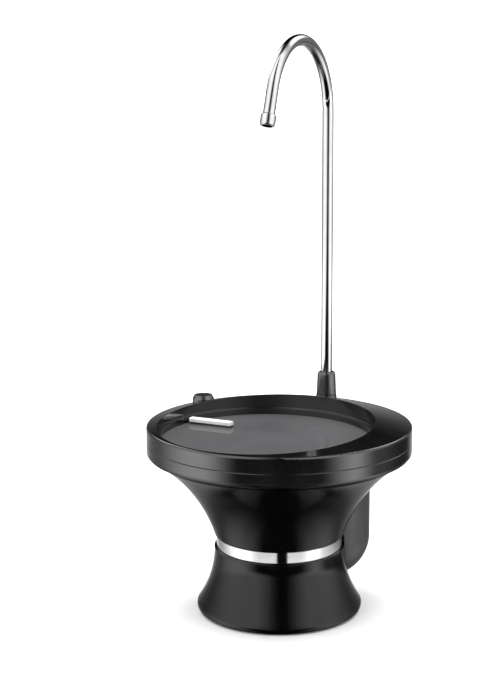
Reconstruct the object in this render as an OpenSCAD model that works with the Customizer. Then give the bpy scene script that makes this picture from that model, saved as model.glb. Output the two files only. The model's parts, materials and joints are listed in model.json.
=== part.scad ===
// Electric water jug pump: round tray on a flared body, steel swan-neck spout, press button,
// rear battery pod and a skirt that sits over the neck of a jug.
// Axis up +Z, origin at the middle of the skirt's underside, -Y towards the viewer.

/* [Tray] */
// Outer radius of the tray ring
rim_r = 90; // [84:0.5:96]
// Height of the tray ring's outer wall
rim_h = 20.5; // [19:0.5:23]
// Height of the lower half of the ring, up to the parting line
seam_h = 10; // [9.5:0.5:11]
// Slope of the ring's top face, rising inwards, in degrees
cone_deg = 13; // [10:0.5:15]
// Narrowest width of the ring, beside the off-centre opening
ring_min = 2.4; // [2.2:0.1:4]
// Opening centre, sideways
open_x = -9; // [-10:0.5:-7]
// Opening centre, front to back
open_y = -11.5; // [-12:0.5:-9]
// Thickness of the glass plate
plate_t = 3.2; // [2.6:0.1:3.6]
// Drop from the ring's outer top edge to the plate
plate_drop = 7.5; // [7:0.25:8]
// Wall thickness of the ring
rim_wall = 2; // [1.8:0.1:2.2]
// Width of the bezel over the plate's edge
bezel_w = 2; // [1.4:0.1:2.4]
// Height of the bezel above the plate
bezel_h = 4.2; // [3.5:0.1:5]
// Length of the light bar
bar_l = 32; // [28:1:34]
// Width of the light bar
bar_w = 5; // [4:0.5:7]
// Height of the light bar
bar_h = 2.6; // [1.5:0.1:3]
// Height of the dark foot under the light bar
bar_foot = 1.4; // [1:0.1:2]
// Direction of the light bar's outer end from the plate's centre, in degrees
bar_a = 140; // [130:1:150]
// Direction in which the light bar points, in degrees
bar_turn = 155; // [145:1:160]

/* [Body] */
// Radius at the waist, lower edge of the flare
waist_r = 44.1; // [42:0.5:47]
// Radius at the top of the flare
flare_top_r = 84; // [80:0.5:85]
// Height of the flare
flare_h = 54.5; // [53:0.5:58]
// Radius of the flare's hollow curve
flare_rad = 104.8; // [95:1:120]
// Wall thickness of the body and skirt
wall = 2.4; // [2:0.1:2.8]
// Height of the bright band
band_h = 8; // [7:0.5:10]
// Depth of the bright band below the body
band_in = 1; // [0.5:0.1:1.4]

/* [Base] */
// Height of the skirt
skirt_h = 45; // [44:0.5:50]
// Radius of the skirt's hollow curve
skirt_rad = 68; // [62:1:80]
// Rounding of the skirt's foot
foot_f = 4; // [3:0.5:5]
// Radius of the bore for a 55 mm jug neck
neck_r = 28; // [27:0.25:29]
// Length of the neck bore
neck_l = 26; // [22:0.5:27]

/* [Spout] */
// Outer diameter of the steel tube
tube_d = 8; // [7:0.25:8.5]
// Wall of the steel tube
tube_t = 0.6; // [0.5:0.1:1]
// Direction of the spout from the axis, in degrees
spout_a = 63.3; // [58:0.5:68]
// Direction in which the swan neck points, in degrees
neck_a = 245.8; // [235:0.5:255]
// Height of the straight riser above the tray ring's edge
rise_h = 207; // [180:1:230]
// Bend radius of the swan neck
bend_r = 48.2; // [40:0.5:52]
// Angle of the bend
bend_deg = 160; // [150:1:175]
// Straight length after the bend, to the tip
leg_l = 23.9; // [20:0.5:35]
// Diameter of the nozzle cap
nozzle_d = 10.3; // [9.6:0.1:11]
// Length of the nozzle cap
nozzle_l = 7.5; // [6:0.5:10]
// Diameter of the sleeve at its top
sleeve_d = 13.1; // [12.4:0.1:13.6]
// Diameter of the sleeve at its foot
sleeve_foot_d = 14.2; // [13.8:0.1:14.8]
// Height of the sleeve
sleeve_h = 16.2; // [14:0.5:20]

/* [Button] */
// Diameter of the press button
button_d = 15.4; // [14:0.2:15.6]
// Direction of the button from the axis, in degrees
button_a = 133; // [128:1:138]
// Height of the button above the ring
button_rise = 5.5; // [4.5:0.25:7]
// Press travel
button_travel = 1.6; // [1:0.1:1.8]

/* [Pod] */
// Radius of the rear pod
pod_r = 30; // [29.5:0.25:31]
// Direction of the pod from the axis, in degrees
pod_a = 40; // [36:1:44]
// Distance of the pod's centre from the axis
pod_o = 44; // [43:0.5:45]
// Height of the centre of the pod's round bottom
pod_z = 44; // [42:0.5:46]
// Wall of the pod
pod_wall = 2.2; // [2:0.1:2.5]
// Direction of the charge port from the pod's own centre line, in degrees
port_a = 35; // [30:1:40]
// Height of the charge port
port_z = 66; // [64:0.5:68]

/* [Pump] */
// Motor diameter
motor_d = 24.4; // [23:0.2:25]
// Motor length
motor_l = 24; // [23:0.5:25]
// Diameter of the pump head
pump_d = 27; // [26:0.5:28]
// Tilt of the wobble plate, in degrees
wobble_deg = 6; // [4:0.5:7]

/* [Fits] */
// Gap round pieces that move
gap = 0.3; // [0.25:0.05:0.4]
// Gap between pieces that are fixed together
seat = 0.05; // [0.03:0.01:0.1]
// Running gap of pins and seals
run = 0.06; // [0.03:0.01:0.08]

/* [Hidden] */
$fn = 96;
e = 0.5;
floor_t = 2.5;
z_body = skirt_h + band_h;
z_flare = z_body + flare_h;
z_tray = z_flare + 2;
z_seam = z_tray + seam_h;
z_rim = z_tray + rim_h;
z_plate = z_rim - plate_drop;
z_deck = z_plate - plate_t - 1;
z_pan = z_tray + floor_t;
slope = tan(cone_deg);
open_r = rim_r - ring_min - norm([open_x, open_y]);
function cone_z(r) = z_rim + (rim_r - r) * slope;
function dir(r, a) = [r * cos(a), r * sin(a), 0];
// plate's pocket, bezel over it and bevels at the parting line
pocket_r = open_r - 0.4;
bezel_r = pocket_r - bezel_w;
bar_p = bezel_r - 1.6;
seam_c = 0.3;

// flare arc through the waist and the top
f_d = [flare_top_r - waist_r, flare_h];
f_c = norm(f_d);
f_m = [(flare_top_r + waist_r) / 2, z_body + flare_h / 2];
flare_o = f_m + [f_d[1], -f_d[0]] / f_c * sqrt(flare_rad * flare_rad - f_c * f_c / 4);
// skirt arc, upright at its top
skirt_o = [waist_r + 0.5 + skirt_rad, skirt_h - 1];
foot_d = skirt_o[1] - foot_f;
foot_c = skirt_o[0] - sqrt((skirt_rad + foot_f) * (skirt_rad + foot_f) - foot_d * foot_d);
foot_t = skirt_o[1] - skirt_rad * foot_d / (skirt_rad + foot_f);
function flare_at(z) = flare_o[0] - sqrt(flare_rad * flare_rad - pow(z - flare_o[1], 2));
function skirt_at(z) = skirt_o[0] - sqrt(skirt_rad * skirt_rad - pow(z - skirt_o[1], 2));
// waist spigot and its screws
spigot_r = waist_r - band_in - 1.6;
waist_p = spigot_r - 7.5;
// collar: flange and screws between the neck and the skirt
collar_t = 2.5;
skirt_in = waist_r + 0.5 - wall;
collar_p = (neck_r + collar_t + skirt_in) / 2;
flange_r = collar_p + 3.2;
lip_r = neck_r + collar_t + 2.2;
lip_t = 1.2;
ledge_r = skirt_in - 1.2;
neck_z = 4;
neck_top = neck_z + neck_l;
lip_z = neck_top + 6;
deck_z0 = skirt_h - floor_t;
flange_z = deck_z0 - collar_t;
// spout
spout_p = rim_r - 14.5;
tube_r = tube_d / 2;
spring_z = z_rim + rise_h;
boss_top = sleeve_foot_d / 2 + 0.2;
boss_r = boss_top + 0.5;
z_boss = cone_z(spout_p - boss_r) + 0.4;
z_sleeve = z_boss + gap;
sock_top = cone_z(spout_p + 7.2) - rim_wall * 1.2 - 0.6;
plug_r = tube_r + 1.4;
sock_r = plug_r + gap;
sock_w = 1.5;
sock_bot = z_pan + 3;
barb_deg = 35;
barb_z = sock_bot + 0.5;
hose_r = 3;
hose_o = 4.6;
// button
button_p = rim_r - 10.3;
button_r = button_d / 2;
cap_dome = 26;
button_s = cone_z(button_p);
lug_z = z_seam + 3.9;
board_z = z_pan + 1.2;
board_t = 1.6;
spring_r = 4.85;
wire_r = 0.35;
spring_z0 = board_z + board_t + wire_r + seat;
spring_z1 = lug_z - wire_r - seat;
spring_turns = 5;
echo(spring_gap_pressed = (spring_z1 - spring_z0 - button_travel) / spring_turns - 2 * wire_r);
// pump stack
pump_z = z_body + floor_t + 3;
pump_r = pump_d / 2;
valve_z = pump_z + 7;
dia_z = valve_z + 3;
frame_z = dia_z + 2.5;
motor_z = frame_z + 14.5;
motor_r = motor_d / 2;
cap_z = motor_z + motor_l;
wob_z = frame_z + 4;
out_z = pump_z + 3.5;
cup_p = 7;
port_in = 4.6;
port_out = 8.2;
weir_r = 6.2;
weir_t = 0.9;
ear_p = pump_r + 1;
// outlet hose path in the upright plane through the spout
h_b = 12;
h_c = 14;
h_up = 90 - barb_deg;
h_x = pump_r + 20.5;
h_end = [spout_p - 11.3 * cos(barb_deg), barb_z - 11.3 * sin(barb_deg)];
h_run = (h_end[0] - h_x - h_c * (1 - cos(h_up))) / cos(barb_deg);
h_z1 = h_end[1] - h_c * sin(h_up) - h_run * sin(barb_deg);
// pod contents
cell_r = 9.1;
cell_l = 65;
cell_z = 36;
cell_d = 15.8;
cell_a = -34.7;
pad_p = pod_r - 5;
pin_p = pod_r - 1.8;
pin_z = port_z - 3.7;
brd_p = pad_p - 0.2 - 7.3;
boss_v = 10;
boss_s = skirt_in - 4.2;
boss_z = flange_z - 3.2;
boss_u = pod_o + sqrt(pow(pod_r, 2) - pow(pod_z - boss_z + 3.2, 2) - pow(boss_v + 3.2, 2)) - 0.15;
tray_p = open_r - 17;
tray_angs = [10, 100, 190, 280];
rim_angs = [15, 40, 88];
rim_p = flare_top_r - 9;
waist_angs = [90, 210, 330];
collar_angs = [30, 150, 270];

// helpers
module off() {
    translate([open_x, open_y, 0]) children();
}

module polar(r, a) {
    translate(dir(r, a)) rotate([0, 0, a]) children();
}

module pod_at(a) {
    translate(dir(pod_o, pod_a)) rotate([0, 0, pod_a + a]) children();
}

module ring_2d(r0, r1, z0, z1) {
    translate([r0, z0]) square([r1 - r0, z1 - z0]);
}

module flare_2d(g) {
    difference() {
        ring_2d(0, flare_o[0], z_body, z_flare);
        translate(flare_o) circle(r = flare_rad - g);
    }
}

module skirt_2d(g) {
    difference() {
        ring_2d(0, skirt_o[0], foot_t, skirt_h);
        translate(skirt_o) circle(r = skirt_rad - g);
    }
    translate([foot_c, foot_f]) circle(r = foot_f + g);
    ring_2d(0, foot_c, 0, foot_t + 0.01);
}

// outline of the body in straight steps, grown by g
module body_env(g) {
    rotate_extrude() polygon(concat([[0, foot_t]],
        [for (i = [0:6]) let (z = foot_t + (skirt_h - foot_t) * i / 6) [skirt_at(z) + g, z]],
        [for (i = [0:8]) let (z = z_body + flare_h * i / 8) [flare_at(z) + g, z]],
        [[flare_top_r - 2, z_flare + 0.1], [flare_top_r - 2, z_deck], [0, z_deck]]));
}

// half section of the pod's shell
module pod_2d() {
    difference() {
        union() {
            translate([0, pod_z]) circle(r = pod_r);
            ring_2d(0, pod_r, pod_z, z_flare - 2);
        }
        translate([0, pod_z]) circle(r = pod_r - pod_wall);
        ring_2d(-pod_r - 1, pod_r - pod_wall, pod_z, z_flare);
        ring_2d(-pod_r - 1, 0, 0, z_flare);
    }
}

// pan-head screw pointing along -Z, head seated at z = 0
module screw(shank_r, shank_l, head_r, head_h) {
    difference() {
        union() {
            translate([0, 0, -shank_l]) cylinder(r = shank_r, h = shank_l + e);
            cylinder(r1 = head_r, r2 = head_r * 0.75, h = head_h);
        }
        translate([-head_r * 0.55, -0.3, head_h * 0.45]) cube([head_r * 1.1, 0.6, head_h]);
        translate([-0.3, -head_r * 0.55, head_h * 0.45]) cube([0.6, head_r * 1.1, head_h]);
    }
}

// upper half of the tray ring: sloped top, off-centre opening, bezel, spout boss and button hole
module tray_rim() {
    f = 1.5;
    zc = z_rim + f * slope - f / cos(cone_deg);
    lid = rim_wall / cos(cone_deg);
    color([0.1, 0.1, 0.105])
    difference() {
        union() {
            difference() {
                rotate_extrude() {
                    polygon([[0, z_seam], [rim_r - seam_c, z_seam], [rim_r, z_seam + seam_c], [rim_r, zc],
                        [rim_r - f + f * sin(cone_deg), zc + f * cos(cone_deg)], [0, cone_z(0)]]);
                    translate([rim_r - f, zc]) circle(r = f);
                }
                difference() {
                    rotate_extrude()
                        polygon([[0, z_seam - e], [rim_r - rim_wall, z_seam - e],
                            [rim_r - rim_wall, cone_z(rim_r - rim_wall) - lid], [0, cone_z(0) - lid]]);
                    off() cylinder(r = open_r + rim_wall, h = cone_z(0));
                    translate(dir(button_p, button_a))
                        cylinder(r = button_r + gap + 1.3, h = cone_z(0));
                    translate(dir(spout_p, spout_a)) cylinder(r = sock_r + sock_w, h = cone_z(0));
                    for (a = rim_angs) translate(dir(rim_p, a)) cylinder(r = 3.4, h = cone_z(0));
                }
            }
            for (a = rim_angs) translate([0, 0, z_pan + seat]) translate(dir(rim_p, a))
                cylinder(r = 3.4, h = z_rim - z_pan - 4);
            translate(dir(spout_p, spout_a)) translate([0, 0, cone_z(spout_p + boss_r) - 1])
                cylinder(r1 = boss_r, r2 = boss_top, h = z_boss - cone_z(spout_p + boss_r) + 1);
        }
        off() translate([0, 0, z_seam - 1]) {
            cylinder(r = pocket_r, h = z_plate + seat - z_seam + 1);
            cylinder(r = bezel_r, h = 60);
        }
        off() translate([0, 0, z_plate + bezel_h]) cylinder(r = open_r + 0.3, h = 60);
        translate(dir(button_p, button_a)) {
            cylinder(r = button_r + gap, h = spring_z);
            cylinder(r = button_r + gap + 2, h = lug_z + 1.4 + gap);
        }
        translate(dir(spout_p, spout_a)) {
            cylinder(r = sock_r, h = spring_z);
            cylinder(r = sock_r + sock_w + e, h = sock_top);
        }
        for (a = rim_angs) translate(dir(rim_p, a)) cylinder(r = 1.25, h = z_seam + 3);
    }
}

// lower half of the ring: pan for the switch, deck for the plate
module tray_base() {
    color([0.07, 0.07, 0.075])
    difference() {
        union() {
            difference() {
                rotate_extrude() {
                    polygon([[0, z_tray + 3], [rim_r, z_tray + 3], [rim_r, z_seam - seat - seam_c],
                        [rim_r - seam_c, z_seam - seat], [0, z_seam - seat]]);
                    ring_2d(0, rim_r - 3, z_tray, z_seam - seat);
                    translate([rim_r - 3, z_tray + 3]) circle(r = 3);
                }
                difference() {
                    translate([0, 0, z_pan]) cylinder(r = rim_r - rim_wall, h = 30);
                    off() cylinder(r = open_r + rim_wall, h = z_seam + 5);
                }
                off() translate([0, 0, z_deck]) cylinder(r = pocket_r, h = 30);
                intersection() {
                    translate([0, 0, z_tray - 1])
                        cylinder(r = flare_top_r - 8, h = z_deck - z_tray - floor_t + 1);
                    off() cylinder(r = pocket_r, h = z_deck);
                }
            }
            for (s = [-9, 9]) polar(button_p, button_a) translate([0, s, z_pan - e])
                cylinder(r = 2, h = 1.2 + e - seat);
        }
        polar(spout_p, spout_a) translate([0, 0, barb_z]) rotate([0, -90 - barb_deg, 0])
            translate([0, 0, 6]) cylinder(r = hose_o + 1.2, h = 24);
        polar(spout_p, spout_a) translate([0, 0, barb_z]) rotate([0, -90 - barb_deg, 0])
            cylinder(r = hose_r + 0.2, h = 9);
        for (a = tray_angs) translate(dir(tray_p, a)) {
            translate([0, 0, z_deck - 5]) cylinder(r = 1.5, h = 9);
            translate([0, 0, z_deck - 2]) cylinder(r = 3.1, h = 5);
        }
        for (a = rim_angs) translate(dir(rim_p, a)) translate([0, 0, z_tray - 1]) cylinder(r = 1.5, h = 6);
    }
}

// foam ring under the plate
module plate_gasket() {
    color([0.2, 0.2, 0.2])
    off() translate([0, 0, z_deck]) difference() {
        cylinder(r = open_r - 1.2, h = 1);
        translate([0, 0, -e]) cylinder(r = open_r - 11, h = 2);
    }
}

// black glass plate on which the cup stands
module glass_plate() {
    r = open_r - 0.8;
    z0 = z_plate - plate_t;
    color([0.05, 0.05, 0.06])
    off() rotate_extrude()
        polygon([[0, z0], [r - 0.5, z0], [r, z0 + 0.5],
            [r, z_plate - 0.5], [r - 0.5, z_plate], [0, z_plate]]);
}

// place of the light bar: its outer end at the back, lengthways along X
module bar_at(z) {
    off() translate(dir(bar_p, bar_a)) rotate([0, 0, bar_turn]) translate([-bar_l, 0, z]) children();
}

// dark foot that carries the light bar on the plate
module light_foot() {
    color([0.05, 0.05, 0.055])
    bar_at(z_plate) translate([0.4, -bar_w / 2 + 0.3, 0]) cube([bar_l - 0.8, bar_w - 0.6, bar_foot]);
}

// white light bar with bevelled upper edges
module light_bar() {
    c = 0.5;
    color([0.92, 0.93, 0.94])
    bar_at(z_plate + bar_foot) rotate([90, 0, 90])
        linear_extrude(bar_l)
            polygon([[-bar_w / 2, 0], [bar_w / 2, 0], [bar_w / 2, bar_h - c], [bar_w / 2 - c, bar_h],
                [-bar_w / 2 + c, bar_h], [-bar_w / 2, bar_h - c]]);
}

// press button with two stop lugs and a plunger
module button_cap() {
    t = button_s + button_rise;
    color([0.06, 0.06, 0.065])
    polar(button_p, button_a) {
        rotate_extrude() intersection() {
            polygon([[0, lug_z], [button_r, lug_z], [button_r, t - 3.4], [button_r - 1.3, t - 0.9],
                [button_r - 2.1, t], [0, t]]);
            translate([0, t - cap_dome]) circle(r = cap_dome);
            ring_2d(0, button_r, lug_z, t);
        }
        translate([-3, -button_r - 1.9, lug_z]) cube([6, button_d + 3.8, 1.4]);
        translate([0, 0, lug_z - 3]) cylinder(r = 1.6, h = 4);
    }
}

// return spring: one unbroken coil
module button_spring() {
    m = 8;
    n = spring_turns * 20;
    pts = [for (i = [0:n]) let (a = 360 * spring_turns * i / n,
            z = spring_z0 + (spring_z1 - spring_z0) * i / n)
        for (j = [0:m - 1]) let (b = 360 * j / m, r = spring_r + wire_r * cos(b))
            [r * cos(a), r * sin(a), z + wire_r * sin(b)]];
    sides = [for (i = [0:n - 1]) for (j = [0:m - 1])
        [i * m + j, i * m + (j + 1) % m, (i + 1) * m + (j + 1) % m, (i + 1) * m + j]];
    ends = [[for (j = [0:m - 1]) m - 1 - j], [for (j = [0:m - 1]) n * m + j]];
    color([0.7, 0.7, 0.72])
    polar(button_p, button_a) polyhedron(points = pts, faces = concat(sides, ends), convexity = 8);
}

// switch under the button
module tact_switch() {
    z = board_z + board_t;
    color([0.15, 0.15, 0.15])
    polar(button_p, button_a) {
        translate([-3, -3, z]) cube([6, 6, 3.4]);
        translate([0, 0, z]) cylinder(r = 1.7, h = lug_z - 3 - button_travel - 0.2 - z);
    }
}

// small board that carries the switch
module switch_board() {
    color([0.08, 0.3, 0.16])
    polar(button_p, button_a) translate([0, 0, board_z]) difference() {
        translate([-6.2, -12, 0]) cube([12.4, 24, board_t]);
        for (s = [-9, 9]) translate([0, s, -e]) cylinder(r = 0.8, h = 3);
    }
}

module leg_end() {
    b = 180 - bend_deg;
    translate([bend_r + bend_r * cos(b), 0, bend_r * sin(b)]) rotate([0, bend_deg, 0]) children();
}

module pipe(r0, r1, h) {
    difference() {
        cylinder(r = r1, h = h);
        translate([0, 0, -e]) cylinder(r = r0, h = h + 2 * e);
    }
}

// bent length of pipe: starts at the origin heading +Z and turns towards +X;
// its ends lie inside the walls of the straight lengths
module pipe_bend(r0, r1, rb, deg) {
    over = 0.4 / rb * 57.3;
    translate([rb, 0, 0]) rotate([90, 0, 0]) rotate([0, 0, 180 - deg - over])
        rotate_extrude(angle = deg + 2 * over) translate([rb, 0]) difference() {
            circle(r = r1 - 0.04);
            circle(r = r0 + 0.04);
        }
}

// polished steel tube: riser, bend and leg
module spout_tube() {
    z0 = sock_bot + 1.2;
    color([0.78, 0.79, 0.8])
    translate(dir(spout_p, spout_a)) {
        translate([0, 0, z0]) pipe(tube_r - tube_t, tube_r, spring_z - z0);
        translate([0, 0, spring_z]) rotate([0, 0, neck_a]) {
            pipe_bend(tube_r - tube_t, tube_r, bend_r, bend_deg);
            leg_end() pipe(tube_r - tube_t, tube_r, leg_l - 1.5);
        }
    }
}

// bright cap at the outlet
module spout_nozzle() {
    r = nozzle_d / 2;
    color([0.85, 0.86, 0.87])
    translate(dir(spout_p, spout_a)) translate([0, 0, spring_z]) rotate([0, 0, neck_a]) leg_end()
        translate([0, 0, leg_l - nozzle_l]) rotate_extrude()
            polygon([[tube_r + seat, 0], [r - 0.6, 0], [r, 0.6], [r, nozzle_l * 0.45],
                [r - 0.35, nozzle_l - 0.5],
                [r - 0.85, nozzle_l], [tube_r - 0.7, nozzle_l], [tube_r - 0.7, nozzle_l - 1.45],
                [tube_r + seat, nozzle_l - 1.45]]);
}

// sleeve in which the tube turns; its plug pushes into the socket
module spout_sleeve() {
    t = z_sleeve + sleeve_h;
    r0 = sleeve_foot_d / 2;
    r1 = sleeve_d / 2;
    color([0.07, 0.07, 0.075])
    translate(dir(spout_p, spout_a)) rotate_extrude() difference() {
        union() {
            polygon([[0, z_sleeve], [r0, z_sleeve], [r1, t - 1.6], [r1 - 0.3, t - 1.2], [r1 - 0.3, t - 0.8],
                [r1 - 1, t], [0, t]]);
            ring_2d(0, plug_r, sock_bot + 1, z_sleeve + 1);
        }
        ring_2d(-1, tube_r + run, 0, t + 1);
        ring_2d(0, tube_r + 1, t - 1.8, t + 1);
        for (z = [sock_bot + 3, sock_bot + 7]) ring_2d(plug_r - 0.8, plug_r + 1, z - 0.55, z + 0.55);
    }
}

// two O-rings on the plug
module spout_seals() {
    color([0.12, 0.12, 0.12])
    translate(dir(spout_p, spout_a)) for (z = [sock_bot + 3, sock_bot + 7])
        rotate_extrude() translate([sock_r - run - 0.5, z]) circle(r = 0.5);
}

// fixed socket under the ring, with the barb for the outlet hose
module spout_socket() {
    color([0.85, 0.85, 0.83])
    polar(spout_p, spout_a) difference() {
        union() {
            translate([0, 0, z_pan + seat]) cylinder(r = sock_r + sock_w, h = sock_top - z_pan - 2 * seat);
            translate([0, 0, barb_z]) rotate([0, -90 - barb_deg, 0]) cylinder(r = hose_r - seat, h = 19);
        }
        translate([0, 0, sock_bot]) cylinder(r = sock_r, h = 60);
        translate([0, 0, barb_z]) rotate([0, -90 - barb_deg, 0]) cylinder(r = 1.9, h = 30);
    }
}

// flared upper body with floor, screw posts and the window to the pod
module upper_body() {
    color([0.03, 0.03, 0.035])
    difference() {
        union() {
            rotate_extrude() difference() {
                union() {
                    difference() {
                        flare_2d(0);
                        flare_2d(-wall);
                    }
                    ring_2d(0, waist_r - 1, z_body, z_body + floor_t);
                    ring_2d(flare_top_r - 5, flare_top_r - 2, z_flare - 1.4, z_tray - seat);
                }
                difference() {
                    ring_2d(waist_r - 1, waist_r + 2, z_body - 1, z_body + 1);
                    translate([waist_r - 1, z_body + 1.1]) circle(r = 1.1);
                }
            }
            intersection() {
                for (a = tray_angs) translate(dir(tray_p, a)) translate([0, 0, z_body + 10])
                    cylinder(r = 4, h = z_deck - floor_t - seat - z_body - 10);
                body_env(-0.6);
            }
        }
        difference() {
            translate(dir(pod_o, pod_a)) translate([0, 0, z_body + floor_t + 2])
                cylinder(r = pod_r - 4, h = z_flare - z_body - 16);
            cylinder(r = waist_r - 3, h = z_body + 12);
        }
        for (a = tray_angs) translate(dir(tray_p, a)) translate([0, 0, z_deck - 16])
            cylinder(r = 1.25, h = 20);
        for (a = waist_angs) translate(dir(waist_p, a)) translate([0, 0, z_body - 1])
            cylinder(r = 1.5, h = 6);
        translate([0, 0, z_body - 1]) cylinder(r = 6.2, h = 6);
    }
}

// bright metal band round the waist
module trim_band() {
    color([0.8, 0.8, 0.81])
    rotate_extrude() polygon([[spigot_r + seat, skirt_h + seat], [waist_r - band_in - 0.3, skirt_h + seat],
        [waist_r - band_in, skirt_h + 0.4], [waist_r - band_in, z_body - 0.4],
        [waist_r - band_in - 0.3, z_body - seat], [spigot_r + seat, z_body - seat]]);
}

// skirt that covers the jug's neck, with a ledge inside for the deck
module base_skirt() {
    color([0.03, 0.03, 0.035])
    difference() {
        rotate_extrude() difference() {
            skirt_2d(0);
            difference() {
                ring_2d(0, foot_c - 1.5, -1, skirt_h + 1);
                translate(skirt_o) circle(r = skirt_rad + wall);
                ring_2d(ledge_r, skirt_in + 1, deck_z0 - lip_t, deck_z0 - seat);
            }
        }
        rotate([0, 0, pod_a]) translate([0, boss_v, boss_z]) rotate([0, 90, 0]) cylinder(r = 1.5, h = 60);
    }
}

// deck that closes the skirt, with the spigot for the band
module skirt_deck() {
    color([0.09, 0.09, 0.095])
    difference() {
        union() {
            rotate_extrude() {
                ring_2d(0, skirt_in - seat, deck_z0, skirt_h);
                ring_2d(spigot_r - 2.4, spigot_r, skirt_h - 1, z_body - seat);
            }
            for (a = waist_angs) translate(dir(waist_p, a)) translate([0, 0, skirt_h - 1])
                cylinder(r = 3.6, h = band_h + 1 - seat);
        }
        for (a = waist_angs) translate(dir(waist_p, a)) translate([0, 0, deck_z0 + 1])
            cylinder(r = 1.25, h = 20);
        for (a = collar_angs) translate(dir(collar_p, a)) translate([0, 0, deck_z0 - 1])
            cylinder(r = 1.25, h = 3.1);
        translate([0, 0, deck_z0 - 1]) cylinder(r = 7, h = 6);
    }
}

// collar that grips the jug's neck, with a lip at its top
module neck_collar() {
    color([0.09, 0.09, 0.095])
    rotate_extrude() difference() {
        union() {
            ring_2d(0, neck_r + collar_t, neck_z, deck_z0 - seat);
            ring_2d(0, lip_r, deck_z0 - seat - lip_t, deck_z0 - seat);
        }
        ring_2d(-1, neck_r, neck_z - 1, neck_top);
        ring_2d(-1, neck_r - 1.8, neck_z - 1, neck_top + 3);
        ring_2d(-1, neck_r - 8, neck_z - 1, lip_z);
        ring_2d(-1, neck_r, lip_z, deck_z0 + 1);
        polygon([[neck_r - 1, neck_z - e], [neck_r + 1 + e, neck_z - e], [neck_r - 1, neck_z + 2]]);
    }
}

// screwed ring that clamps the collar's lip to the deck, with room for the skirt's ledge
module collar_ring() {
    color([0.09, 0.09, 0.095])
    difference() {
        rotate_extrude() difference() {
            ring_2d(neck_r + collar_t + seat, flange_r, flange_z, deck_z0 - seat);
            ring_2d(0, lip_r + seat, deck_z0 - 2 * seat - lip_t, deck_z0 + 1);
            ring_2d(ledge_r - seat, skirt_in + 1, deck_z0 - 2 * seat - lip_t, deck_z0 + 1);
        }
        for (a = collar_angs) translate(dir(collar_p, a)) translate([0, 0, deck_z0 - 4])
            cylinder(r = 1.5, h = 8);
    }
}

// soft ring that seals on the jug's mouth
module neck_gasket() {
    color([0.75, 0.75, 0.74])
    translate([0, 0, neck_top + seat]) difference() {
        cylinder(r = neck_r - 1.8 - seat, h = 3 - 2 * seat);
        translate([0, 0, -e]) cylinder(r = neck_r - 9, h = 5);
    }
}

// inlet fitting: spigot below for the suction hose, barb above
module inlet_fitting() {
    z0 = neck_top + 1;
    color([0.85, 0.85, 0.83])
    difference() {
        rotate_extrude() polygon([[0, z0], [3.2, z0], [4, z0 + 0.8], [4, deck_z0 - 1], [6.9, deck_z0 - 1],
            [6.9, skirt_h + seat], [9.5, skirt_h + seat], [9.5, skirt_h + 2], [hose_r - seat, skirt_h + 2],
            [hose_r - seat, skirt_h + 6.6], [hose_r - 0.5, skirt_h + 7], [0, skirt_h + 7]]);
        translate([0, 0, z0 - 1]) cylinder(r = 2, h = 40);
    }
}

// short hose from the inlet fitting to the pump
module inlet_hose() {
    color([0.86, 0.88, 0.88])
    translate([0, 0, skirt_h + 2 + seat]) difference() {
        cylinder(r = hose_o, h = pump_z - skirt_h - 2 - 2 * seat);
        translate([0, 0, -e]) cylinder(r = hose_r, h = 30);
    }
}

// hose from the pump to the spout's socket
module outlet_hose() {
    color([0.86, 0.88, 0.88])
    rotate([0, 0, spout_a]) {
        translate([pump_r + 1.5, 0, out_z]) rotate([0, 90, 0]) pipe(hose_r, hose_o, h_x - h_b - pump_r - 1.5);
        translate([h_x, 0, out_z + h_b]) rotate([0, 180, 0]) pipe_bend(hose_r, hose_o, h_b, 90);
        translate([h_x, 0, out_z + h_b]) pipe(hose_r, hose_o, h_z1 - out_z - h_b);
        translate([h_x, 0, h_z1]) pipe_bend(hose_r, hose_o, h_c, h_up);
        translate([h_end[0], 0, h_end[1]]) rotate([0, -90 - barb_deg, 0]) pipe(hose_r, hose_o, h_run);
    }
}

// spring clips on the hose ends
module hose_clips() {
    color([0.7, 0.7, 0.72]) {
        for (z = [skirt_h + 4, pump_z - 3]) translate([0, 0, z]) clip();
        rotate([0, 0, spout_a]) translate([pump_r + 3, 0, out_z]) rotate([0, 90, 0]) clip();
        rotate([0, 0, spout_a]) translate([h_end[0], 0, h_end[1]]) rotate([0, -90 - barb_deg, 0])
            translate([0, 0, 3.4]) clip();
    }
}

module clip() {
    difference() {
        cylinder(r = hose_o + 0.8, h = 2);
        translate([0, 0, -e]) cylinder(r = hose_o + seat, h = 3);
    }
}

// rear pod: round column with a domed bottom, against the body
module rear_pod() {
    color([0.09, 0.09, 0.095])
    difference() {
        union() {
            pod_at(0) rotate_extrude() pod_2d();
            pod_at(port_a) {
                translate([pad_p, -10, port_z - 8]) cube([3.1, 20, 16]);
                for (s = [-17, 17]) translate([brd_p, 0, port_z + s]) rotate([0, 90, 0])
                    cylinder(r = 2.6, h = pod_r - 1.2 - brd_p);
            }
            rotate([0, 0, pod_a]) translate([boss_s, boss_v, boss_z]) rotate([0, 90, 0])
                cylinder(r = 3.2, h = boss_u - boss_s);
        }
        body_env(0.1);
        pod_at(port_a) {
            translate([pad_p + 2.2, -7, port_z - 5]) cube([10, 14, 10]);
            translate([pad_p - 5, -4.75, port_z - 1.9]) cube([10, 9.5, 3.8]);
            translate([pin_p, -7.9, pin_z]) rotate([-90, 0, 0]) cylinder(r = 0.4 + seat, h = 15.8);
            for (s = [-17, 17]) translate([brd_p - 1, 0, port_z + s]) rotate([0, 90, 0])
                cylinder(r = 0.9, h = 7);
        }
        rotate([0, 0, pod_a]) translate([boss_s, boss_v, boss_z]) rotate([0, 90, 0])
            cylinder(r = 1.25, h = 18);
    }
}

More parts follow.
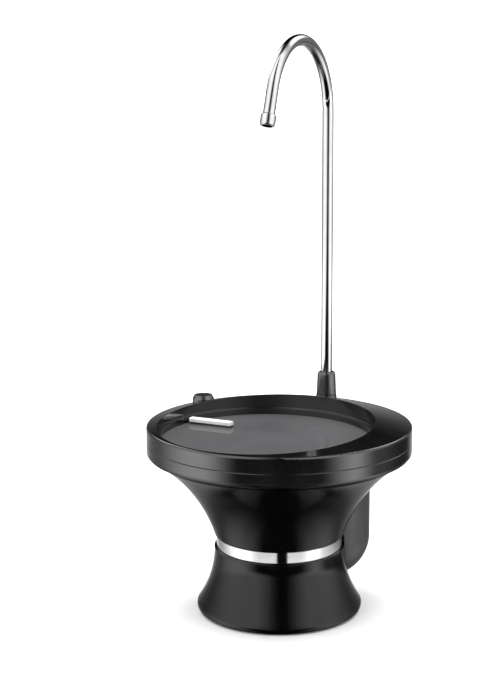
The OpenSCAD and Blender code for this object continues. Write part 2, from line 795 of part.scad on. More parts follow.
// soft flap over the charge port
module charge_flap() {
    color([0.14, 0.14, 0.145])
    pod_at(port_a) difference() {
        union() {
            translate([pin_p - 0.65, -6.6, pin_z]) cube([1.35, 13.2, 8.2]);
            translate([pin_p, -6.6, pin_z]) rotate([-90, 0, 0]) cylinder(r = 0.67, h = 13.2);
            translate([pin_p - 1.6, -4.3, port_z - 1.5]) cube([1.5, 8.6, 3]);
        }
        translate([pin_p, -8, pin_z]) rotate([-90, 0, 0]) cylinder(r = 0.4 + run, h = 16);
    }
}

// hinge pin of the flap
module flap_pin() {
    color([0.7, 0.7, 0.72])
    pod_at(port_a) translate([pin_p, -7.8, pin_z]) rotate([-90, 0, 0]) cylinder(r = 0.4, h = 15.6);
}

// control board in the pod
module control_board() {
    color([0.08, 0.3, 0.16])
    pod_at(port_a) difference() {
        union() {
            translate([brd_p - board_t - seat, -9, port_z - 20]) cube([board_t, 18, 40]);
            translate([brd_p - board_t - 1.6, -5, port_z + 4]) cube([1.7, 6, 6]);
            translate([brd_p - board_t - 2.2, -4, port_z - 11]) cube([2.3, 5, 4]);
        }
        for (s = [-17, 17]) translate([brd_p - 5, 0, port_z + s]) rotate([0, 90, 0])
            cylinder(r = 1.2, h = 10);
    }
}

// charge socket on the board
module charge_socket() {
    color([0.75, 0.75, 0.77])
    pod_at(port_a) difference() {
        translate([brd_p - seat, -4.45, port_z - 1.6]) cube([7.3, 8.9, 3.2]);
        difference() {
            translate([brd_p + 1, -4.1, port_z - 1.25]) cube([10, 8.2, 2.5]);
            translate([brd_p, -3.3, port_z - 0.35]) cube([6.4, 6.6, 0.7]);
        }
    }
}

// rechargeable cell in the pod
module battery_cell() {
    color([0.2, 0.35, 0.6])
    pod_at(cell_a) translate([cell_d, 0, cell_z]) {
        cylinder(r = cell_r, h = cell_l - 1);
        cylinder(r = 3, h = cell_l);
    }
}

// cradle that holds the cell to the pod's wall
module battery_cradle() {
    color([0.12, 0.12, 0.125])
    pod_at(cell_a) {
        difference() {
            translate([cell_d, 0, cell_z - 1.4]) cylinder(r = cell_r + 1.2, h = 48);
            translate([cell_d, 0, cell_z - seat]) cylinder(r = cell_r + seat, h = cell_l);
            translate([cell_d - 20, -6, cell_z]) cube([20, 12, cell_l]);
        }
        difference() {
            translate([cell_d, -3, cell_z + 12]) cube([pod_r - pod_wall - 0.25 - cell_d, 6, 30]);
            translate([cell_d, 0, cell_z - seat]) cylinder(r = cell_r + 0.6, h = cell_l);
        }
    }
}

// motor case
module motor_can() {
    color([0.7, 0.71, 0.72])
    translate([0, 0, motor_z + seat]) difference() {
        cylinder(r = motor_r, h = motor_l - 2 * seat);
        translate([0, 0, 1]) cylinder(r = motor_r - 1, h = motor_l);
        translate([0, 0, -e]) cylinder(r = 1.6, h = 3);
    }
}

// two field magnets
module motor_magnets() {
    color([0.25, 0.25, 0.26])
    translate([0, 0, motor_z + 2]) difference() {
        cylinder(r = motor_r - 1 - seat, h = motor_l - 5);
        translate([0, 0, -e]) cylinder(r = motor_r - 2.9, h = motor_l);
        for (s = [0, 1]) mirror([0, s, 0]) translate([-4, 4, -e]) cube([8, 20, motor_l]);
    }
}

// end cap with two terminals
module motor_end_cap() {
    color([0.9, 0.9, 0.86])
    difference() {
        union() {
            translate([0, 0, cap_z]) cylinder(r = motor_r, h = 1.6);
            translate([0, 0, cap_z - 2]) cylinder(r = motor_r - 1 - seat, h = 2.5);
            for (s = [-7, 7]) translate([s - 0.3, -1.2, cap_z + 1]) cube([0.6, 2.4, 2.6]);
        }
        translate([0, 0, cap_z - 3]) cylinder(r = 1.6, h = 3.6);
    }
}

// wound armature with its commutator
module motor_rotor() {
    r = motor_r - 3.4;
    color([0.7, 0.42, 0.2])
    difference() {
        union() {
            translate([0, 0, motor_z + 4]) cylinder(r = r, h = motor_l - 10.5);
            translate([0, 0, motor_z + 2.4]) cylinder(r = r - 2, h = motor_l - 8);
            translate([0, 0, motor_z + 4]) cylinder(r = 2.6, h = motor_l - 6.6);
        }
        for (a = [60, 180, 300]) rotate([0, 0, a]) translate([4.4, -0.9, motor_z + 1])
            cube([20, 1.8, motor_l]);
        translate([0, 0, motor_z]) cylinder(r = 1 + seat / 2, h = motor_l + 5);
    }
}

// motor shaft
module rotor_shaft() {
    color([0.75, 0.76, 0.77])
    translate([0, 0, wob_z + 4.6]) cylinder(r = 1, h = cap_z + 0.4 - wob_z - 4.6);
}

// eccentric hub that holds the tilted drive pin
module eccentric() {
    color([0.85, 0.85, 0.82])
    difference() {
        translate([0, 0, wob_z + 3.4]) cylinder(r = 5, h = 4.6);
        translate([0, 0, wob_z + 4.6 - seat]) cylinder(r = 1 + seat / 2, h = 20);
        tilted() translate([0, 0, -e]) cylinder(r = 0.8 + seat / 2, h = 4.4 + seat + e);
    }
}

module tilted() {
    translate([0, 0, wob_z]) rotate([0, wobble_deg, 0]) children();
}

// tilted drive pin
module drive_pin() {
    color([0.7, 0.7, 0.72])
    tilted() translate([0, 0, -0.6]) cylinder(r = 0.8, h = 5);
}

// wobble plate with three arms
module wobble_plate() {
    color([0.88, 0.88, 0.84])
    tilted() difference() {
        union() {
            translate([0, 0, -0.7]) cylinder(r = 2.6, h = 2.6);
            for (a = [0, 120, 240]) rotate([0, 0, a]) {
                translate([0, -1.3, -0.7]) cube([7.4, 2.6, 1.5]);
                translate([7.4, 0, -0.7]) cylinder(r = 2.2, h = 1.5);
            }
        }
        translate([0, 0, -2]) cylinder(r = 0.8 + run, h = 6);
    }
}

module pump_2d() {
    circle(r = pump_r);
    for (a = [0, 120, 240]) rotate([0, 0, a + spout_a + 60]) translate([ear_p, 0]) circle(r = 3);
}

module pump_holes(r) {
    for (a = [0, 120, 240]) rotate([0, 0, a + spout_a + 60]) translate([ear_p, 0, -1])
        cylinder(r = r, h = 40);
}

// rubber diaphragm with three chambers
module diaphragm() {
    color([0.16, 0.16, 0.16])
    translate([0, 0, dia_z + seat]) difference() {
        union() {
            linear_extrude(2.5 - 2 * seat) pump_2d();
            for (a = [0, 120, 240]) rotate([0, 0, a]) translate([cup_p, 0, 0]) {
                cylinder(r1 = 4, r2 = 2.6, h = 4.2);
                cylinder(r = 1.2, h = 4.6);
            }
        }
        for (a = [0, 120, 240]) rotate([0, 0, a]) translate([cup_p, 0, -e])
            cylinder(r1 = 3.2, r2 = 1.8, h = 3.8);
        pump_holes(1.35);
    }
}

// plate with the valve ports
module valve_plate() {
    color([0.85, 0.85, 0.83])
    translate([0, 0, valve_z + seat]) difference() {
        linear_extrude(3 - 2 * seat) pump_2d();
        for (a = [0, 120, 240]) rotate([0, 0, a]) {
            translate([port_in, 0, -1]) cylinder(r = 0.6, h = 6);
            translate([port_out, 0, -1]) cylinder(r = 0.8, h = 6);
            for (s = [-1.35, 1.35]) translate([port_out, s, -1]) cylinder(r = 0.35, h = 6);
        }
        pump_holes(1.35);
    }
}

// three rubber check valves
module check_valves() {
    color([0.6, 0.25, 0.2])
    for (a = [0, 120, 240]) rotate([0, 0, a]) translate([port_out, 0, valve_z - 0.7]) {
        cylinder(r = port_out - weir_r - 0.1, h = 0.7);
        cylinder(r = 0.8 - seat, h = 2.4);
    }
}

// frame between pump head and motor
module pump_frame() {
    color([0.2, 0.2, 0.21])
    translate([0, 0, frame_z + seat]) difference() {
        linear_extrude(motor_z - frame_z - 2 * seat) pump_2d();
        translate([0, 0, -e]) cylinder(r = pump_r - 1.7, h = motor_z - frame_z - 1.5);
        translate([0, 0, -e]) cylinder(r = 4, h = 40);
        pump_holes(1.05);
    }
}

// pump end cover with the inlet and outlet barbs
module pump_cover() {
    h = valve_z - pump_z;
    color([0.2, 0.2, 0.21])
    difference() {
        union() {
            translate([0, 0, pump_z]) linear_extrude(h - seat) pump_2d();
            translate([0, 0, pump_z - 5]) cylinder(r = hose_r - seat, h = 6);
            rotate([0, 0, spout_a]) translate([pump_r - 3, 0, out_z]) rotate([0, 90, 0])
                cylinder(r = hose_r - seat, h = 11);
        }
        translate([0, 0, pump_z + 1.6]) difference() {
            cylinder(r = pump_r - 1.7, h = h);
            difference() {
                cylinder(r = weir_r, h = h);
                translate([0, 0, -e]) cylinder(r = weir_r - weir_t, h = h + 1);
            }
        }
        translate([0, 0, pump_z - 6]) cylinder(r = 1.9, h = 9);
        rotate([0, 0, spout_a]) translate([pump_r - 4, 0, out_z]) rotate([0, 90, 0])
            cylinder(r = 1.6, h = 20);
        translate([0, 0, pump_z]) pump_holes(1.35);
    }
}

// rubber ring that the pump stands on
module pump_mount() {
    color([0.1, 0.1, 0.1])
    translate([0, 0, z_body + floor_t]) difference() {
        cylinder(r = pump_r - 1.8, h = 3);
        translate([0, 0, -e]) cylinder(r = pump_r - 6, h = 5);
    }
}

// long screws through the pump head
module pump_screws() {
    color([0.65, 0.65, 0.67])
    for (a = [0, 120, 240]) rotate([0, 0, a + spout_a + 60]) translate([ear_p, 0, pump_z - seat])
        rotate([180, 0, 0]) screw(1, 22, 2.2, 1.6);
}

// screws from the body floor into the skirt
module waist_screws() {
    color([0.65, 0.65, 0.67])
    for (a = waist_angs) translate(dir(waist_p, a)) translate([0, 0, z_body + floor_t + seat])
        screw(1.2, 9, 2.6, 2);
}

// screws that hold the collar to the skirt
module collar_screws() {
    color([0.65, 0.65, 0.67])
    for (a = collar_angs) translate(dir(collar_p, a)) translate([0, 0, flange_z - seat])
        rotate([180, 0, 0]) screw(1.2, 4, 2.6, 2);
}

// screws from the deck into the body's posts
module tray_screws() {
    color([0.65, 0.65, 0.67])
    for (a = tray_angs) translate(dir(tray_p, a)) translate([0, 0, z_deck - 2 + seat])
        screw(1.2, 12, 2.8, 1.9);
}

// screws from below into the ring's bosses
module rim_screws() {
    color([0.65, 0.65, 0.67])
    for (a = rim_angs) translate(dir(rim_p, a)) translate([0, 0, z_tray - seat])
        rotate([180, 0, 0]) screw(1.2, 10, 2.6, 2);
}

// screw from inside the skirt into the pod
module pod_screws() {
    x = sqrt(pow(skirt_in, 2) - pow(boss_v + 2.6, 2)) - seat;
    color([0.65, 0.65, 0.67])
    rotate([0, 0, pod_a]) translate([x, boss_v, boss_z]) rotate([0, -90, 0]) screw(1.2, 12, 2.6, 2);
}

// screws that hold the control board
module board_screws() {
    color([0.65, 0.65, 0.67])
    pod_at(port_a) for (s = [-17, 17]) translate([brd_p - board_t - 2 * seat, 0, port_z + s])
        rotate([0, -90, 0]) screw(0.85, 6, 1.9, 1.4);
}

tray_rim();
tray_base();
plate_gasket();
glass_plate();
light_foot();
light_bar();
button_cap();
button_spring();
tact_switch();
switch_board();
spout_tube();
spout_nozzle();
spout_sleeve();
spout_seals();
spout_socket();
upper_body();
trim_band();
base_skirt();
skirt_deck();
neck_collar();
collar_ring();
neck_gasket();
inlet_fitting();
inlet_hose();
outlet_hose();
hose_clips();
rear_pod();
charge_flap();
flap_pin();
control_board();
charge_socket();
battery_cell();
battery_cradle();
motor_can();
motor_magnets();
motor_end_cap();
motor_rotor();
rotor_shaft();
eccentric();
drive_pin();
wobble_plate();
diaphragm();
valve_plate();
check_valves();
pump_frame();
pump_cover();
pump_mount();
pump_screws();
waist_screws();
collar_screws();
tray_screws();
rim_screws();
pod_screws();
board_screws();
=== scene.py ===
import json
import math

import bpy
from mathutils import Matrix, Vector


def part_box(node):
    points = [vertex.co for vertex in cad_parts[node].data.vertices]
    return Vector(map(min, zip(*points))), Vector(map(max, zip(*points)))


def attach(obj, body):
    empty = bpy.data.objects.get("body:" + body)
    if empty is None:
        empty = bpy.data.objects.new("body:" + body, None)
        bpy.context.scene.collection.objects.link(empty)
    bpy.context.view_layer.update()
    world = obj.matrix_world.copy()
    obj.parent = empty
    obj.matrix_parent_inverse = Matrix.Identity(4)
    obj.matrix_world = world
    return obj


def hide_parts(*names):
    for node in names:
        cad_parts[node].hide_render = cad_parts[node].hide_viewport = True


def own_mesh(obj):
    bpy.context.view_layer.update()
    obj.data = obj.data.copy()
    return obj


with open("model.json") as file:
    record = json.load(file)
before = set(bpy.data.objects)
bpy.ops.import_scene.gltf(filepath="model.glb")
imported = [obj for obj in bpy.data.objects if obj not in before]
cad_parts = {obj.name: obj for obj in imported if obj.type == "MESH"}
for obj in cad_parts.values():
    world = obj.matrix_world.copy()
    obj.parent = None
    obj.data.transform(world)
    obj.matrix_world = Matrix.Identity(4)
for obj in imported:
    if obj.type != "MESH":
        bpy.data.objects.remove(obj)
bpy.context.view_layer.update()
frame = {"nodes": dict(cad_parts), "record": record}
NODES = frame["nodes"]

# Photograph's frame, in pixels
IMAGE_W, IMAGE_H = 480, 688
FOCAL_PX = 1517.2
AXIS_PX = 279.3

# Camera, in metres and degrees; the sensor in millimetres
CAM_BACK = 1.0
CAM_UP = 0.376
CAM_TILT = 10.82
SENSOR = 36.0

# Finishes: share of the noise that is used, and rays for each soft edge
NOISE_SPAN = (0.3, 0.7)
TONE_SPAN = (0.35, 0.65)
GRAIN_DETAIL = 2.0
CLOUD_DETAIL = 3.0
EDGE_RAYS = 6

# Button spring, in metres and degrees
WIRE_R = 0.00035
WIRE_SIDES = 12
SPRING_TURNS = 5
TURN_STEPS = 40
SPRING_START = 133.0

# Floor, in metres
FLOOR_FRONT = -1.7
FLOOR_BACK = 2.6
FLOOR_HALF = 1.9
COVE_R = 0.5
COVE_STEPS = 12
WALL_TOP = 0.75

# Lamps: place and target in metres, size in metres, power in watts
TOP_BOX = {"place": (0, -0.1, 1.6), "target": (0, 0, 0), "size": (1.6, 1.6), "power": 46}
WALL_BOX = {"place": (0, 1.3, 1.9), "target": (0, 2.5, 0.2), "size": (3.4, 0.6), "power": 70}

# Light room: brightness of its panels
SIDE_GLOW = 1.6
BACK_SHARE = 0.13
BAND_GLOW = 1.15
BAND_END_SHARE = 0.3
RIM_GLOW = 2.6
BACKDROP_GLOW = 0.3
FLOOR_GLOW = 0.38
ROOM_GLOW = 0.003
BELT_GLOW = 0.45
FLAG_SHARE = 0.82

# Light room: edges of its panels, each from dark to bright,
# in degrees round from the front (ROUND) or up from level (UP)
SIDE_ROUND = [(162.0, 142.0)]
SIDE_UP = [(-82.0, -28.0)]
BELT_UP = [(-24.0, -19.0), (-6.0, -11.0)]
FLAG_RIGHT = (0.05, 0.2)
FLAG_ROUND = [(64.0, 92.0)]
FLAG_UP = [(-26.0, -20.0), (-8.0, -13.0)]
STRIP_UP = [(-21.4, -20.4), (-18.1, -18.5)]
RIM_ROUND = [(106.0, 130.0), (164.0, 138.0)]
RIM_UP = [(12.0, 32.0), (64.0, 42.0)]
BACKDROP_ROUND = [(142.0, 162.0)]
BACKDROP_UP = [(25.5, -4.0), (-30.0, -16.0)]
BEHIND_ROUND = [(140.0, 165.0)]
BEHIND_UP = [(-8.0, -18.0), (-54.0, -40.0)]

# Light room: dark gap in front and the fall towards the back, in degrees.
# Each pair is the value below and above the step in height.
GAP_STEP = (-14.0, -6.0)
GAP_TURN = 5.0
GAP_FROM = (34.0, 3.0)
GAP_TO = (70.0, 46.0)
FALL_STEP = (-38.0, -22.0)
FALL_FROM = (90.0, 74.0)
FALL_TO = (135.0, 130.0)
SLOT_EDGE = (8.5, 11.0)
BAND_FALL = (60.0, 150.0)


# Node helpers

def node(tree, kind, **values):
    """New node, with values for its sockets or, where it has no such socket, its settings."""
    made = tree.nodes.new(kind)
    for key, value in values.items():
        if key in made.inputs:
            made.inputs[key].default_value = value
        else:
            setattr(made, key, value)
    return made


def fill(tree, socket, value):
    """A number is set on the socket, and another node's output is linked to it."""
    if isinstance(value, (int, float)):
        socket.default_value = value
    else:
        tree.links.new(value, socket)


def calc(tree, operation, first, second=0.0):
    """Math node; its operands are numbers or sockets."""
    made = node(tree, "ShaderNodeMath", operation=operation)
    fill(tree, made.inputs[0], first)
    fill(tree, made.inputs[1], second)
    return made.outputs["Value"]


def product(tree, *factors):
    """Factors, numbers or sockets, multiplied together."""
    result = factors[0]
    for factor in factors[1:]:
        result = calc(tree, "MULTIPLY", result, factor)
    return result


def total(tree, *terms):
    """Terms, numbers or sockets, added together."""
    result = terms[0]
    for term in terms[1:]:
        result = calc(tree, "ADD", result, term)
    return result


def rest_of(tree, share):
    """What a share leaves of one."""
    return calc(tree, "SUBTRACT", 1.0, share)


def ease(tree, value, start, end, low=0.0, high=1.0):
    """Smooth step from low to high as value goes from start to end; these may be sockets."""
    made = node(tree, "ShaderNodeMapRange", interpolation_type="SMOOTHSTEP")
    limits = {"From Min": start, "From Max": end, "To Min": low, "To Max": high}
    for key, limit in limits.items():
        fill(tree, made.inputs[key], limit)
    tree.links.new(value, made.inputs["Value"])
    return made.outputs["Result"]


def inside(tree, value, edges):
    """One where value is past the bright end of every edge, zero past a dark end."""
    return product(tree, *[ease(tree, value, dark, bright) for dark, bright in edges])


# Parts of a finish

def object_coords(tree, stretch):
    coords = node(tree, "ShaderNodeTexCoord")
    mapping = node(tree, "ShaderNodeMapping", Scale=stretch)
    tree.links.new(coords.outputs["Object"], mapping.inputs["Vector"])
    return mapping.outputs["Vector"]


def noise(tree, scale, detail, stretch=(1, 1, 1)):
    made = node(tree, "ShaderNodeTexNoise", Scale=scale, Detail=detail)
    tree.links.new(object_coords(tree, stretch), made.inputs["Vector"])
    return made.outputs["Fac"]


def spread(tree, fac, low, high):
    """Noise spread over the range from low to high."""
    made = node(tree, "ShaderNodeMapRange")
    limits = zip(("From Min", "From Max", "To Min", "To Max"), (*NOISE_SPAN, low, high))
    for key, limit in limits:
        made.inputs[key].default_value = limit
    tree.links.new(fac, made.inputs["Value"])
    return made.outputs["Result"]


def tones(tree, fac, dark, light):
    """Noise as a colour between dark and light."""
    made = node(tree, "ShaderNodeValToRGB")
    first, last = made.color_ramp.elements
    first.position, last.position = TONE_SPAN
    first.color = (*dark, 1)
    last.color = (*light, 1)
    tree.links.new(fac, made.inputs["Fac"])
    return made.outputs["Color"]


def relief(tree, bsdf, scale, depth, stretch, edge):
    """Fine grain of the given depth, over edges that are rounded to the given radius."""
    normal = None
    if edge:
        bevel = node(tree, "ShaderNodeBevel", Radius=edge, samples=EDGE_RAYS)
        normal = bevel.outputs["Normal"]
    if depth:
        bump = node(tree, "ShaderNodeBump", Strength=1.0, Distance=depth)
        grain = noise(tree, scale, GRAIN_DETAIL, stretch)
        tree.links.new(grain, bump.inputs["Height"])
        if normal:
            tree.links.new(normal, bump.inputs["Normal"])
        normal = bump.outputs["Normal"]
    if normal:
        tree.links.new(normal, bsdf.inputs["Normal"])


def finish(name, dark, light, rough, cloud=60.0, fine=1500.0, depth=0.0,
           stretch=(1, 1, 1), edge=0.0, **sockets):
    """Material with cloudy tone, uneven roughness, a fine surface grain and soft edges.
    Cloud and fine are noise scales; depth and edge are in metres."""
    mat = bpy.data.materials.new(name)
    mat.use_nodes = True
    tree = mat.node_tree
    bsdf = tree.nodes["Principled BSDF"]
    clouds = tones(tree, noise(tree, cloud, CLOUD_DETAIL), dark, light)
    tree.links.new(clouds, bsdf.inputs["Base Color"])
    polish = spread(tree, noise(tree, fine, GRAIN_DETAIL, stretch), *rough)
    tree.links.new(polish, bsdf.inputs["Roughness"])
    relief(tree, bsdf, fine, depth, stretch, edge)
    for socket, value in sockets.items():
        bsdf.inputs[socket.replace("_", " ")].default_value = value
    return mat


def grey(value, blue=1.04):
    return (value, value, value * blue)


# Finishes of the outside

def ring_black():
    return finish("ring_black", dark=grey(0.003), light=grey(0.005), rough=(0.08, 0.11),
                  fine=2600, depth=0.000002, edge=0.0004, IOR=1.8)


def body_black():
    return finish("body_black", dark=grey(0.0010), light=grey(0.0018), rough=(0.07, 0.12),
                  cloud=30, fine=45, edge=0.0006, IOR=1.42)


def pod_black():
    return finish("pod_black", dark=grey(0.030), light=grey(0.040), rough=(0.30, 0.38),
                  fine=2200, depth=0.000012, edge=0.0005, IOR=1.5)


# Plate: glossy black glass. Its grey base colour is partly painted reflection: the grey stands in
# for some of the pale room that the glass mirrors, and the low IOR keeps the real mirror faint.
def plate_glass():
    return finish("plate_glass", dark=grey(0.052), light=grey(0.060), rough=(0.015, 0.03),
                  cloud=20, fine=35, edge=0.0003, IOR=1.14)


def bright_band():
    return finish("bright_band", dark=grey(0.84, 1.01), light=grey(0.90, 1.01),
                  rough=(0.08, 0.11), fine=500, depth=0.000002, stretch=(0.15, 0.15, 6),
                  Metallic=1.0)


def spout_steel():
    return finish("spout_steel", dark=grey(0.58, 1.01), light=grey(0.64, 1.01),
                  rough=(0.05, 0.09), fine=900, depth=0.000002, stretch=(1, 1, 0.05),
                  Metallic=1.0)


def light_white():
    return finish("light_white", dark=grey(0.64, 1.0), light=grey(0.70, 1.0), rough=(0.3, 0.4),
                  fine=900, edge=0.0003, IOR=1.5,
                  Emission_Color=(1.0, 0.99, 0.97, 1), Emission_Strength=0.09)


def key_black():
    return finish("key_black", dark=grey(0.010), light=grey(0.015), rough=(0.16, 0.2),
                  fine=2400, depth=0.000006, edge=0.0004, IOR=2.0)


# Finishes of the inside

def rubber_black():
    return finish("rubber_black", dark=grey(0.014), light=grey(0.022), rough=(0.55, 0.7),
                  fine=1800, depth=0.00003, IOR=1.45)


def silicone():
    return finish("silicone", dark=(0.62, 0.64, 0.65), light=(0.74, 0.76, 0.77),
                  rough=(0.32, 0.45), fine=600, IOR=1.42)


def natural_plastic():
    return finish("natural_plastic", dark=(0.74, 0.74, 0.69), light=(0.80, 0.80, 0.76),
                  rough=(0.38, 0.5), fine=1200, depth=0.00001, IOR=1.5)


def grey_plastic():
    return finish("grey_plastic", dark=grey(0.05), light=grey(0.07), rough=(0.4, 0.52),
                  fine=1600, depth=0.00002, IOR=1.5)


def board_green():
    return finish("board_green", dark=(0.012, 0.075, 0.03), light=(0.02, 0.12, 0.05),
                  rough=(0.25, 0.4), cloud=700, fine=900, depth=0.00003, IOR=1.5)


def zinc_steel():
    return finish("zinc_steel", dark=(0.52, 0.52, 0.53), light=(0.62, 0.62, 0.63),
                  rough=(0.24, 0.38), cloud=300, fine=900, depth=0.000006, Metallic=1.0)


def cell_wrap():
    return finish("cell_wrap", dark=(0.03, 0.09, 0.28), light=(0.05, 0.13, 0.36),
                  rough=(0.2, 0.3), cloud=80, fine=120, IOR=1.5)


def winding():
    return finish("winding", dark=(0.55, 0.24, 0.09), light=(0.78, 0.42, 0.18),
                  rough=(0.25, 0.4), cloud=2500, fine=2500, depth=0.00008, stretch=(1, 1, 6),
                  Metallic=1.0)


def magnet():
    return finish("magnet", dark=grey(0.05), light=grey(0.085), rough=(0.55, 0.7),
                  cloud=400, fine=1500, depth=0.00003, IOR=1.5)


def dress_nodes():
    """Every CAD node takes the finish of its material slot."""
    makers = [ring_black, body_black, pod_black, plate_glass, bright_band, spout_steel,
              light_white, key_black, rubber_black, silicone, natural_plastic, grey_plastic,
              board_green, zinc_steel, cell_wrap, winding, magnet]
    made = {maker.__name__: maker() for maker in makers}
    for part in frame["record"]["subparts"]:
        mesh = NODES[part["node"]].data
        mesh.materials.clear()
        mesh.materials.append(made[part["material_slot"]])
    return made


# Button spring

def make_mesh(name, verts, faces, material):
    mesh = bpy.data.meshes.new(name)
    mesh.from_pydata(verts, [], faces)
    mesh.update()
    mesh.materials.append(material)
    obj = bpy.data.objects.new(name, mesh)
    bpy.context.scene.collection.objects.link(obj)
    return obj


def wire_ring(centre, out, along):
    """Ring of points round the wire's middle; out and along are unit vectors."""
    up = out.cross(along)
    ring = []
    for side in range(WIRE_SIDES):
        angle = math.tau * side / WIRE_SIDES
        ring.append(centre + WIRE_R * (math.cos(angle) * out + math.sin(angle) * up))
    return ring


def coil_rings(middle, radius, foot, head):
    """Rings of a wire that climbs from foot to head round middle."""
    steps = SPRING_TURNS * TURN_STEPS
    climb = (head - foot) / (math.tau * SPRING_TURNS)
    rings = []
    for step in range(steps + 1):
        angle = math.radians(SPRING_START) + math.tau * step / TURN_STEPS
        out = Vector((math.cos(angle), math.sin(angle), 0.0))
        along = Vector((-radius * out.y, radius * out.x, climb)).normalized()
        level = foot + (head - foot) * step / steps
        centre = Vector((middle.x, middle.y, level)) + radius * out
        rings.append(wire_ring(centre, out, along))
    return rings


def tube_faces(count):
    """Faces of a tube made of so many rings, with a cap at each end."""
    faces = [tuple(range(WIRE_SIDES))]
    for ring in range(count - 1):
        for side in range(WIRE_SIDES):
            near = ring * WIRE_SIDES + side
            beside = ring * WIRE_SIDES + (side + 1) % WIRE_SIDES
            faces.append((near, near + WIRE_SIDES, beside + WIRE_SIDES, beside))
    last = (count - 1) * WIRE_SIDES
    faces.append(tuple(last + side for side in reversed(range(WIRE_SIDES))))
    return faces


def button_coil(material):
    """The button's spring as turned wire."""
    low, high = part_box("button_spring")
    middle = (low + high) / 2
    radius = (high.x - low.x) / 2 - WIRE_R
    rings = coil_rings(middle, radius, low.z + WIRE_R, high.z - WIRE_R)
    points = [tuple(point) for ring in rings for point in ring]
    coil = make_mesh("spring_coil", points, tube_faces(len(rings)), material)
    for face in coil.data.polygons:
        face.use_smooth = len(face.vertices) < WIRE_SIDES
    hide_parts("button_spring")
    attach(coil, "housing")
    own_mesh(coil)


# Studio

def open_below(mat):
    """The floor is clear when it is looked at from underneath."""
    tree = mat.node_tree
    side = node(tree, "ShaderNodeNewGeometry").outputs["Backfacing"]
    clear = node(tree, "ShaderNodeBsdfTransparent").outputs["BSDF"]
    mix = node(tree, "ShaderNodeMixShader")
    tree.links.new(side, mix.inputs["Fac"])
    tree.links.new(tree.nodes["Principled BSDF"].outputs["BSDF"], mix.inputs[1])
    tree.links.new(clear, mix.inputs[2])
    tree.links.new(mix.outputs["Shader"], tree.nodes["Material Output"].inputs["Surface"])


def floor_line():
    """The floor's outline from front to back: flat, a quarter turn and a low wall."""
    line = [(FLOOR_FRONT, 0.0)]
    for step in range(COVE_STEPS + 1):
        angle = math.radians(90 * step / COVE_STEPS)
        line.append((FLOOR_BACK - COVE_R + COVE_R * math.sin(angle),
                     COVE_R - COVE_R * math.cos(angle)))
    return line + [(FLOOR_BACK, WALL_TOP)]


def studio_floor():
    """Pale floor that turns up into a low wall behind the object."""
    mat = finish("studio_pale", dark=(0.80, 0.80, 0.80), light=(0.82, 0.82, 0.82),
                 rough=(0.75, 0.85), cloud=3, fine=40)
    open_below(mat)
    line = floor_line()
    verts = [(x, y, z) for y, z in line for x in (-FLOOR_HALF, FLOOR_HALF)]
    faces = [(2 * i, 2 * i + 1, 2 * i + 3, 2 * i + 2) for i in range(len(line) - 1)]
    floor = make_mesh("floor", verts, faces, mat)
    for face in floor.data.polygons:
        face.use_smooth = True
    floor.visible_glossy = False


def softbox(name, place, target, size, power):
    light = bpy.data.lights.new(name, "AREA")
    light.shape = "RECTANGLE"
    light.size, light.size_y = size
    light.energy = power
    obj = bpy.data.objects.new(name, light)
    obj.location = place
    aim = Vector(target) - Vector(place)
    obj.rotation_euler = aim.to_track_quat("-Z", "Y").to_euler()
    obj.visible_camera = False
    obj.visible_glossy = False
    bpy.context.scene.collection.objects.link(obj)


def room_angles(tree):
    """A direction's share to the right, its degrees round from the front and up from level."""
    coords = node(tree, "ShaderNodeTexCoord")
    split = node(tree, "ShaderNodeSeparateXYZ")
    tree.links.new(coords.outputs["Generated"], split.inputs["Vector"])
    x, y, z = (split.outputs[key] for key in "XYZ")
    front = calc(tree, "MULTIPLY", y, -1.0)
    turn = calc(tree, "DEGREES", calc(tree, "ARCTAN2", x, front))
    height = calc(tree, "DEGREES", calc(tree, "ARCSINE", z))
    return x, turn, height


def away_from(tree, turn, middle):
    """Degrees round from the middle of a gap."""
    return calc(tree, "ABSOLUTE", calc(tree, "SUBTRACT", turn, middle))


def side_panels(tree, x, turn, azimuth, height, strip):
    """Two tall soft sides, which leave a dark gap in front and fade towards the back."""
    off_gap = away_from(tree, turn, ease(tree, height, *GAP_STEP, 0.0, GAP_TURN))
    gap_from = ease(tree, height, *GAP_STEP, *GAP_FROM)
    gap_to = ease(tree, height, *GAP_STEP, *GAP_TO)
    fall_from = ease(tree, height, *FALL_STEP, *FALL_FROM)
    fall_to = ease(tree, height, *FALL_STEP, *FALL_TO)
    flag = product(tree, ease(tree, x, *FLAG_RIGHT), inside(tree, azimuth, FLAG_ROUND),
                   inside(tree, height, FLAG_UP), FLAG_SHARE)
    belt = product(tree, inside(tree, height, BELT_UP), BELT_GLOW)
    return product(tree, ease(tree, off_gap, gap_from, gap_to),
                   ease(tree, azimuth, fall_from, fall_to, 1.0, BACK_SHARE),
                   inside(tree, azimuth, SIDE_ROUND), inside(tree, height, SIDE_UP),
                   rest_of(tree, flag), total(tree, 1.0, belt), rest_of(tree, strip),
                   SIDE_GLOW)


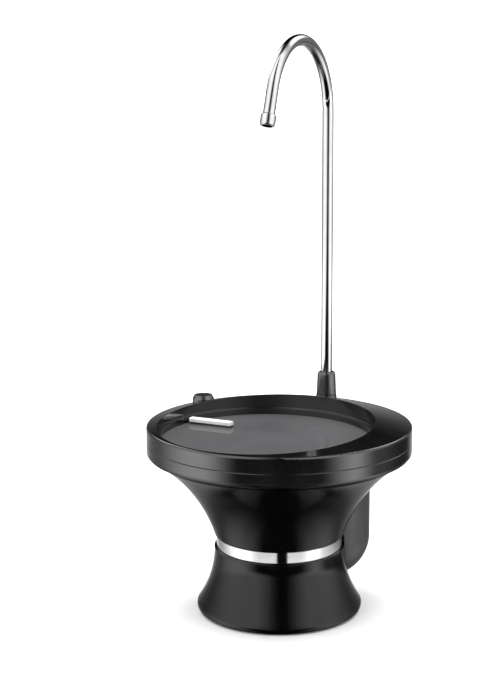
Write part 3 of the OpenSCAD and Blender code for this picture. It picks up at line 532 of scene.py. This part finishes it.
def band_panel(tree, turn, azimuth, strip):
    """Narrow strip that the bright band mirrors, with a sharp dark slot in front."""
    slot = ease(tree, away_from(tree, turn, GAP_TURN), *SLOT_EDGE)
    fall = ease(tree, azimuth, *BAND_FALL, 1.0, BAND_END_SHARE)
    return product(tree, strip, slot, fall, BAND_GLOW)


def panel(tree, azimuth, height, edges_round, edges_up, glow):
    """Panel with soft edges all round."""
    return product(tree, inside(tree, azimuth, edges_round), inside(tree, height, edges_up), glow)


def studio_world():
    """Light room of glow panels, which the camera itself sees as plain white."""
    world = bpy.context.scene.world or bpy.data.worlds.new("studio")
    bpy.context.scene.world = world
    world.use_nodes = True
    tree = world.node_tree
    x, turn, height = room_angles(tree)
    azimuth = calc(tree, "ABSOLUTE", turn)
    strip = inside(tree, height, STRIP_UP)
    glow = total(tree,
                 side_panels(tree, x, turn, azimuth, height, strip),
                 band_panel(tree, turn, azimuth, strip),
                 panel(tree, azimuth, height, RIM_ROUND, RIM_UP, RIM_GLOW),
                 panel(tree, azimuth, height, BACKDROP_ROUND, BACKDROP_UP, BACKDROP_GLOW),
                 panel(tree, azimuth, height, BEHIND_ROUND, BEHIND_UP, FLOOR_GLOW),
                 ROOM_GLOW)
    seen = node(tree, "ShaderNodeLightPath").outputs["Is Camera Ray"]
    strength = total(tree, seen, product(tree, rest_of(tree, seen), glow))
    background = tree.nodes["Background"]
    tree.links.new(strength, background.inputs["Strength"])
    background.inputs["Color"].default_value = (1, 1, 1, 1)


def studio_camera():
    data = bpy.data.cameras.new("camera")
    data.sensor_width = SENSOR
    data.lens = FOCAL_PX * SENSOR / IMAGE_H
    data.shift_x = -(AXIS_PX - IMAGE_W / 2) / IMAGE_H
    obj = bpy.data.objects.new("camera", data)
    obj.location = (0, -CAM_BACK, CAM_UP)
    obj.rotation_euler = (math.radians(90 - CAM_TILT), 0, 0)
    bpy.context.scene.collection.objects.link(obj)
    bpy.context.scene.camera = obj


bpy.context.scene.view_settings.view_transform = "Standard"
studio_camera()
studio_world()
softbox("top_box", **TOP_BOX)
softbox("wall_box", **WALL_BOX)
studio_floor()
FINISHES = dress_nodes()
button_coil(FINISHES["zinc_steel"])
